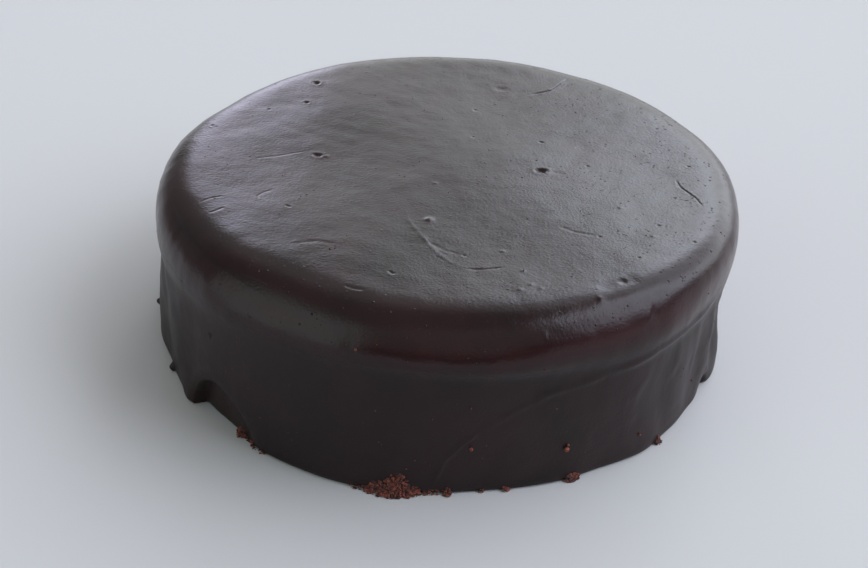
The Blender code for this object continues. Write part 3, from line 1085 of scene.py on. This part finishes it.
def drum_tree():
    tree, given = start_tree("sponge_drum", "GeometryNodeTree", DRUM_INPUTS, (("Geometry", GEOMETRY),))
    drum = add(tree, "GeometryNodeMeshCylinder", {
        "Vertices": given["Columns"], "Side Segments": given["Rows"], "Fill Segments": given["Rings"],
        "Radius": given["Radius"], "Depth": given["Height"],
    }, fill_type="TRIANGLE_FAN").outputs["Mesh"]
    place = add(tree, "GeometryNodeInputPosition").outputs[0]
    normal = add(tree, "GeometryNodeInputNormal").outputs[0]
    pores = add(tree, "ShaderNodeTexNoise", {
        "Vector": place, "W": given["Seed"], "Scale": given["Pore Scale"], "Detail": 2.0,
    }, noise_dimensions="4D").outputs[0]
    depth = math_node(tree, "MULTIPLY", math_node(tree, "MULTIPLY", pores, given["Pore Depth"]), -1.0)
    inward = add(tree, "ShaderNodeVectorMath", {0: normal, "Scale": depth}, operation="SCALE").outputs[0]
    half = math_node(tree, "DIVIDE", given["Height"], 2.0)
    height = add(tree, "ShaderNodeSeparateXYZ", {0: place}).outputs[2]
    share = math_node(tree, "DIVIDE", math_node(tree, "ADD", height, half), given["Height"])
    tilt = add(tree, "ShaderNodeVectorMath", {0: place, 1: given["Slope"]}, operation="DOT_PRODUCT").outputs["Value"]
    up = math_node(tree, "ADD", half, math_node(tree, "MULTIPLY", tilt, share))
    stand = add(tree, "ShaderNodeCombineXYZ", {2: up}).outputs[0]
    offset = add(tree, "ShaderNodeVectorMath", {0: inward, 1: stand}, operation="ADD").outputs[0]
    moved = add(tree, "GeometryNodeSetPosition", {"Geometry": drum, "Offset": offset})
    toned = add(tree, "GeometryNodeStoreNamedAttribute", {
        "Geometry": moved.outputs[0], "Name": "tone", "Value": SPONGE_TONE,
    }, data_type="FLOAT", domain="POINT")
    smooth = add(tree, "GeometryNodeSetShadeSmooth", {"Geometry": toned.outputs[0]})
    finish_tree(tree, smooth.outputs[0], given["Material"])
    return tree


drum_slope = TOP_RISE * DRUM_HEIGHT / TOP_HEIGHT
sponge = grown("sponge", bpy.data.meshes.new("nothing"), drum_tree(), {
    "Radius": DRUM_RADIUS - DRUM_GAP,
    "Height": DRUM_HEIGHT - DRUM_GAP,
    "Columns": 240,
    "Rows": 24,
    "Rings": 36,
    "Slope": (drum_slope * math.cos(TOP_RISE_TOWARDS), drum_slope * math.sin(TOP_RISE_TOWARDS), 0.0),
    "Pore Scale": 260.0,
    "Pore Depth": 0.0006,
    "Seed": 5.0,
    "Material": crumb,
})

# %% [markdown]
# ## Crumbs round the foot
#
# Trimming and moving the cake left crumbs against the hem: one small heap in front, a few clumps, and
# single ones. Each place is a patch of surface that leans from the wall out onto the plate, and a node
# tree scatters crumbs over the patches. The crumbs are lumps of a few dozen faces, in four shapes.

# %% Patches where crumbs lie
# (first azimuth, last azimuth, height up the wall, reach out on the plate, crumbs, size of a crumb)
CRUMB_PLACES = (
    (-100.8, -90.8, 0.0050, 0.0032, 420, 0.0009),
    (-97.5, -92.5, 0.0078, 0.0026, 160, 0.0008),
    (-104.0, -100.0, 0.0020, 0.0012, 30, 0.0006),
    (-90.8, -86.5, 0.0020, 0.0010, 34, 0.0007),
    (-130.5, -127.8, 0.0036, 0.0022, 90, 0.0007),
    (-127.8, -121.5, 0.0016, 0.0014, 70, 0.0006),
    (-86.8, -85.0, 0.0024, 0.0014, 44, 0.0008),
    (-80.0, -78.9, 0.0012, 0.0008, 10, 0.0006),
    (-75.8, -74.2, 0.0016, 0.0012, 26, 0.0007),
    (-63.2, -60.0, 0.0026, 0.0014, 90, 0.0009),
    (-41.3, -39.5, 0.0024, 0.0016, 50, 0.0008),
    (-155.8, -154.4, 0.0018, 0.0014, 12, 0.0008),
)
PATCH_STEPS = 8


def foot_place(azimuth, share, height_up, reach):
    """A place on a patch: share 0 is up the wall and share 1 is out on the plate."""
    foot = settled(np.array([WAY_TO_HEM]), np.array([azimuth]))[0]
    outward = Vector((foot[0], foot[1], 0.0)).normalized()
    turn = share * math.pi / 2.0
    out = reach * (1.0 - math.cos(turn))
    up = height_up * (1.0 - math.sin(turn))
    return Vector((foot[0], foot[1], 0.0)) + outward * out + Vector((0.0, 0.0, up))


def crumb_patches():
    patches = bmesh.new()
    size_layer = patches.verts.layers.float.new("crumb_size")
    density_layer = patches.verts.layers.float.new("crumb_density")
    for first, last, height_up, reach, count, size in CRUMB_PLACES:
        grid = []
        for step in range(PATCH_STEPS + 1):
            across = step / PATCH_STEPS
            hump = math.sin(math.pi * mix(0.08, 0.92, across)) ** 0.7
            row = []
            for part in range(PATCH_STEPS + 1):
                place = foot_place(mix(first, last, across), part / PATCH_STEPS, height_up * hump, reach * hump)
                vertex = patches.verts.new(place)
                vertex[size_layer] = size
                row.append(vertex)
            grid.append(row)
        made = [
            patches.faces.new((near[part], far[part], far[part + 1], near[part + 1]))
            for near, far in zip(grid, grid[1:])
            for part in range(PATCH_STEPS)
        ]
        area = sum(face.calc_area() for face in made)
        for row in grid:
            for vertex in row:
                vertex[density_layer] = count / area
    mesh = bpy.data.meshes.new("crumb_patches")
    patches.to_mesh(mesh)
    patches.free()
    return mesh


# %% Scatter the crumbs
CRUMB_INPUTS = (
    ("Geometry", GEOMETRY), ("Roughness", NUMBER), ("Smallest", NUMBER), ("Largest", NUMBER),
    ("Floor", NUMBER), ("Seed", WHOLE), ("Material", MATERIAL),
)
CRUMB_SHAPES = 4


def crumb_shapes(tree, roughness):
    """Lumps a metre wide with knobbly sides, each kept as an instance to pick from."""
    shapes = add(tree, "GeometryNodeJoinGeometry")
    for shape in range(CRUMB_SHAPES):
        ball = add(tree, "GeometryNodeMeshIcoSphere", {"Radius": 0.5, "Subdivisions": 1}).outputs["Mesh"]
        place = add(tree, "GeometryNodeInputPosition").outputs[0]
        knobs = add(tree, "ShaderNodeTexNoise", {"Vector": place, "W": 7.3 * shape, "Scale": 3.1, "Detail": 1.0},
                    noise_dimensions="4D").outputs[0]
        grow = math_node(tree, "MULTIPLY_ADD", math_node(tree, "SUBTRACT", knobs, 0.5), roughness, 1.0)
        knobbly = add(tree, "ShaderNodeVectorMath", {0: place, "Scale": grow}, operation="SCALE").outputs[0]
        lump = add(tree, "GeometryNodeSetPosition", {"Geometry": ball, "Position": knobbly}).outputs[0]
        tree.links.new(add(tree, "GeometryNodeGeometryToInstance", {0: lump}).outputs[0], shapes.inputs[0])
    return shapes.outputs[0]


def scattered(tree, given, points, own_size):
    """Crumbs of random size, turn and tone on points, with anything below the floor raised to it."""
    luck = random_number(tree, 0.0, 1.0, given["Seed"])
    size = add(tree, "ShaderNodeMapRange", {
        "Value": math_node(tree, "POWER", luck, 1.8), "To Min": given["Smallest"], "To Max": given["Largest"],
    }).outputs["Result"]
    turn = add(tree, "FunctionNodeRandomValue", {0: (0.0, 0.0, 0.0), 1: (6.3, 6.3, 6.3), "Seed": given["Seed"]},
               data_type="FLOAT_VECTOR").outputs[0]
    pick = add(tree, "FunctionNodeRandomValue", {4: 0, 5: CRUMB_SHAPES - 1, "Seed": given["Seed"]},
               data_type="INT").outputs[2]
    placed = add(tree, "GeometryNodeInstanceOnPoints", {
        "Points": points, "Instance": crumb_shapes(tree, given["Roughness"]), "Pick Instance": True,
        "Instance Index": pick, "Rotation": turn, "Scale": math_node(tree, "MULTIPLY", size, own_size),
    })
    toned = add(tree, "GeometryNodeStoreNamedAttribute", {
        "Geometry": placed.outputs[0], "Name": "tone", "Value": random_number(tree, 0.0, 1.0, 11),
    }, data_type="FLOAT", domain="INSTANCE")
    real = add(tree, "GeometryNodeRealizeInstances", {"Geometry": toned.outputs[0]})
    place = add(tree, "GeometryNodeInputPosition").outputs[0]
    parts = add(tree, "ShaderNodeSeparateXYZ", {0: place}).outputs
    raised = add(tree, "ShaderNodeCombineXYZ", {
        0: parts[0], 1: parts[1], 2: math_node(tree, "MAXIMUM", parts[2], given["Floor"]),
    })
    return add(tree, "GeometryNodeSetPosition", {"Geometry": real.outputs[0], "Position": raised.outputs[0]}).outputs[0]


def named_number(tree, name):
    return add(tree, "GeometryNodeInputNamedAttribute", {"Name": name}, data_type="FLOAT").outputs[0]


def crumb_tree():
    tree, given = start_tree("foot_crumbs", "GeometryNodeTree", CRUMB_INPUTS, (("Geometry", GEOMETRY),))
    points = add(tree, "GeometryNodeDistributePointsOnFaces", {
        "Mesh": given["Geometry"], "Density": named_number(tree, "crumb_density"), "Seed": given["Seed"],
    }).outputs["Points"]
    finish_tree(tree, scattered(tree, given, points, named_number(tree, "crumb_size")), given["Material"])
    return tree


crumbs = grown("crumbs", crumb_patches(), crumb_tree(), {
    "Roughness": 2.2,
    "Smallest": 0.35,
    "Largest": 1.8,
    "Floor": 0.00005,
    "Seed": 4,
    "Material": crumb,
})

# %% [markdown]
# ## Specks on the glaze
#
# A few crumbs as fine as sugar were carried down with the glaze and stuck on the wall and the top. Some
# stand where they were seen, and the rest are scattered over the coat by chance.

# %% Stick the specks on
# (azimuth, height, size) on the wall
WALL_SPECKS = (
    (-103.5, 0.0530, 0.0011), (-82.7, 0.0350, 0.0010), (-82.0, 0.0185, 0.0013), (-63.7, 0.0140, 0.0020),
    (-63.4, 0.0155, 0.0012), (-47.0, 0.0095, 0.0012), (-27.5, 0.0125, 0.0009), (-92.0, 0.0137, 0.0008),
    (-93.5, 0.0100, 0.0007), (-70.0, 0.0480, 0.0007),
)
# (x, y, size) on the top
TOP_SPECKS = ((-0.0350, -0.0590, 0.0007), (-0.0335, -0.0583, 0.0005), (0.0270, -0.0655, 0.0007))
SPECK_SINK = 0.25


def coat_finder():
    mesh = coat.data
    return BVHTree.FromPolygons([vertex.co for vertex in mesh.vertices], [face.vertices for face in mesh.polygons])


def speck_points():
    """A mesh of bare points on the coat, each with its size."""
    finder = coat_finder()
    spots = []
    for azimuth, height, size in WALL_SPECKS:
        turn = math.radians(azimuth)
        outward = Vector((math.cos(turn), math.sin(turn), 0.0))
        hit, normal, _, _ = finder.ray_cast(outward * 0.2 + Vector((0.0, 0.0, height)), -outward)
        spots.append((hit + normal * size * SPECK_SINK, size))
    for x, y, size in TOP_SPECKS:
        hit, normal, _, _ = finder.ray_cast(Vector((x, y, 0.2)), Vector((0.0, 0.0, -1.0)))
        spots.append((hit + normal * size * SPECK_SINK, size))
    mesh = bpy.data.meshes.new("speck_points")
    mesh.from_pydata([spot for spot, _ in spots], [], [])
    sizes = mesh.attributes.new("crumb_size", "FLOAT", "POINT")
    sizes.data.foreach_set("value", [size for _, size in spots])
    return mesh


def speck_tree():
    tree, given = start_tree("glaze_specks", "GeometryNodeTree", CRUMB_INPUTS, (("Geometry", GEOMETRY),))
    points = add(tree, "GeometryNodeMeshToPoints", {"Mesh": given["Geometry"]}).outputs[0]
    finish_tree(tree, scattered(tree, given, points, named_number(tree, "crumb_size")), given["Material"])
    return tree


specks = grown("specks", speck_points(), speck_tree(), {
    "Roughness": 1.2,
    "Smallest": 0.8,
    "Largest": 1.1,
    "Floor": 0.0,
    "Seed": 9,
    "Material": crumb,
})

# %% Scatter the stray specks
# The skin faces away from the middle of the cake, and the underside of the coat faces towards it.
STRAY_INPUTS = CRUMB_INPUTS + (("Density", NUMBER), ("Middle", VECTOR))


def stray_tree():
    tree, given = start_tree("stray_specks", "GeometryNodeTree", STRAY_INPUTS, (("Geometry", GEOMETRY),))
    place = add(tree, "GeometryNodeInputPosition").outputs[0]
    normal = add(tree, "GeometryNodeInputNormal").outputs[0]
    away = add(tree, "ShaderNodeVectorMath", {0: place, 1: given["Middle"]}, operation="SUBTRACT").outputs[0]
    facing_away = add(tree, "ShaderNodeVectorMath", {0: normal, 1: away}, operation="DOT_PRODUCT").outputs["Value"]
    is_skin = math_node(tree, "GREATER_THAN", facing_away, 0.0)
    points = add(tree, "GeometryNodeDistributePointsOnFaces", {
        "Mesh": given["Geometry"], "Density": math_node(tree, "MULTIPLY", is_skin, given["Density"]),
        "Seed": given["Seed"],
    }).outputs["Points"]
    finish_tree(tree, scattered(tree, given, points, 1.0), given["Material"])
    return tree


stray_specks = grown("stray_specks", coat.data, stray_tree(), {
    "Roughness": 1.2,
    "Smallest": 0.00020,
    "Largest": 0.00050,
    "Floor": 0.0,
    "Seed": 21,
    "Material": crumb,
    "Density": 6000.0,
    "Middle": (0.0, 0.0, TOP_HEIGHT / 2.0),
})

# %% [markdown]
# ## Floor, light and camera
#
# A plain pale floor and soft light, as in a studio with windows behind the cake: the top mirrors a wide
# pale board with a brighter window at either end, and the front stays in soft shade. The camera looks
# down from the front.

# %% Floor
FLOOR_COLOUR = (0.54, 0.535, 0.53, 1.0)
FLOOR_HALF = 6.0
FLOOR_DROP = 0.0002


def floor_material():
    material, tree, shader, vector = start_material("pale_floor", FLOOR_COLOUR)
    _, slow = grain(tree, vector, 400.0, 6.0)
    darker = tuple(0.985 * part for part in FLOOR_COLOUR[:3]) + (1.0,)
    tree.links.new(colour_between(tree, slow, FLOOR_COLOUR, darker), shader.inputs["Base Color"])
    shader.inputs["Roughness"].default_value = 0.7
    shader.inputs["Specular IOR Level"].default_value = 0.2
    return material


def make_floor():
    mesh = bpy.data.meshes.new("floor")
    corners = [(-1.0, -1.0), (1.0, -1.0), (1.0, 1.0), (-1.0, 1.0)]
    mesh.from_pydata([(FLOOR_HALF * x, FLOOR_HALF * y, -FLOOR_DROP) for x, y in corners], [], [(0, 1, 2, 3)])
    mesh.materials.append(floor_material())
    floor = bpy.data.objects.new("floor", mesh)
    bpy.context.scene.collection.objects.link(floor)
    floor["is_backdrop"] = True


make_floor()

# %% Light from above
# It lights the floor, and the glaze doesn't mirror it.
OVERHEAD_PLACE = (0.0, 0.0, 2.0)
OVERHEAD_SIDE = 2.6
OVERHEAD_WATTS = 2.0

overhead_light = bpy.data.lights.new("overhead", "AREA")
overhead_light.size = OVERHEAD_SIDE
overhead_light.energy = OVERHEAD_WATTS
overhead = bpy.data.objects.new("overhead", overhead_light)
overhead.location = OVERHEAD_PLACE
overhead.visible_camera = False
overhead.visible_glossy = False
bpy.context.scene.collection.objects.link(overhead)

# %% The room that the glaze mirrors
# name: (left edge, right edge, softness to the sides, lower edge, upper edge, softness up and down,
# brightness, colour), in degrees right of straight behind the cake and degrees up
PANES = {
    "pale_wall": (-20.0, 75.0, 8.0, -90.0, 30.5, 5.0, 1.32, (0.96, 1.0, 1.0)),
    "left_window": (-19.0, -8.2, 1.5, -90.0, 28.5, 3.0, 2.20, (0.72, 0.70, 1.0)),
    "left_wall": (-110.0, -20.0, 12.0, -90.0, 40.0, 10.0, 0.12, (0.9, 1.0, 1.0)),
    "right_window": (4.5, 20.0, 7.5, 21.5, 46.0, 5.0, 4.10, (0.80, 0.86, 1.0)),
    "high_window": (17.0, 80.0, 12.0, 6.0, 62.0, 8.0, 1.9, (0.80, 0.86, 1.0)),
    "side_window": (75.0, 124.0, 12.0, 12.0, 62.0, 7.0, 4.0, (0.80, 0.86, 1.0)),
    "front_left_wall": (-143.0, -98.0, 14.0, -90.0, 43.0, 7.0, 1.05, (0.81, 1.0, 0.98)),
    "camera_side_left": (-200.0, -145.0, 10.0, 18.0, 52.0, 8.0, 0.30, (0.9, 1.0, 1.0)),
    "camera_side_right": (135.0, 200.0, 10.0, 18.0, 52.0, 8.0, 0.36, (0.9, 1.0, 1.0)),
    "lit_ceiling": (-45.0, 100.0, 20.0, 32.0, 64.0, 16.0, 0.45, (1.0, 0.95, 0.95)),
    "ceiling": (-200.0, 200.0, 10.0, 45.0, 120.0, 10.0, 0.27, (1.0, 0.88, 0.88)),
}
ROOM = (0.12, 0.135, 0.14, 1.0)


def smooth_share(tree, value, middle, softness):
    """0 well below the middle, 1 well above it, and a smooth rise over the softness on either side."""
    return add(tree, "ShaderNodeMapRange", {
        "Value": value, "From Min": middle - softness, "From Max": middle + softness,
    }, interpolation_type="SMOOTHSTEP").outputs["Result"]


def between(tree, value, low, high, softness):
    falling = math_node(tree, "SUBTRACT", 1.0, smooth_share(tree, value, high, softness))
    return math_node(tree, "MULTIPLY", smooth_share(tree, value, low, softness), falling)


def make_room():
    world = bpy.data.worlds.new("soft_room")
    world.use_nodes = True
    tree = world.node_tree
    direction = tree.nodes.new("ShaderNodeTexCoord").outputs["Generated"]
    right, behind, height = add(tree, "ShaderNodeSeparateXYZ", {0: direction}).outputs
    turn = math_node(tree, "DEGREES", math_node(tree, "ARCTAN2", right, behind))
    up = math_node(tree, "DEGREES", math_node(tree, "ARCSINE", height))
    total = ROOM[:3]
    for name, (left, right_edge, side_soft, low, high, up_soft, brightness, colour) in PANES.items():
        across = between(tree, turn, left, right_edge, side_soft)
        share = math_node(tree, "MULTIPLY", across, between(tree, up, low, high, up_soft))
        lit = add(tree, "ShaderNodeVectorMath", {0: colour, "Scale": math_node(tree, "MULTIPLY", share, brightness)},
                  operation="SCALE", label=name)
        total = add(tree, "ShaderNodeVectorMath", {0: lit.outputs[0], 1: total}, operation="ADD").outputs[0]
    tree.links.new(total, tree.nodes["Background"].inputs["Color"])
    bpy.context.scene.world = world


make_room()
bpy.context.scene.view_settings.view_transform = "Standard"

# %% Camera
CAMERA_PLACE = Vector((0.0014, -0.5075, 0.3454))
CAMERA_PAN = math.radians(-0.32)
CAMERA_TILT = math.radians(33.07)
CAMERA_ROLL = math.radians(3.48)
CAMERA_LENS = 68.68

camera_data = bpy.data.cameras.new("camera")
camera_data.lens = CAMERA_LENS
camera_data.sensor_width = 36.0
camera = bpy.data.objects.new("camera", camera_data)
turn = Matrix.Rotation(-CAMERA_PAN, 4, "Z") @ Matrix.Rotation(math.pi / 2.0 - CAMERA_TILT, 4, "X")
camera.matrix_world = Matrix.Translation(CAMERA_PLACE) @ turn @ Matrix.Rotation(CAMERA_ROLL, 4, "Z")
bpy.context.scene.collection.objects.link(camera)
bpy.context.scene.camera = camera

# %% [markdown]
# ## Put the pieces on the cake
#
# The coat stands for the plain solid, which is hidden. Every piece belongs to the one body of the cake. Last, the box
# of the dressed cake is printed beside the box of the solid.

# %% Ride and measure
PIECES = (
    (coat, "chocolate_glaze"),
    (pimples, "chocolate_glaze"),
    (sponge, "chocolate_sponge"),
    (crumbs, "chocolate_sponge"),
    (specks, "chocolate_sponge"),
    (stray_specks, "chocolate_sponge"),
)
for piece, slot_name in PIECES:
    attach(piece, "root")
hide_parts("cake")

dressed_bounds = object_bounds()
for name, box in (("solid", solid_bounds), ("dressed", dressed_bounds)):
    print(name, [[round(1000.0 * value, 2) for value in corner] for corner in box])
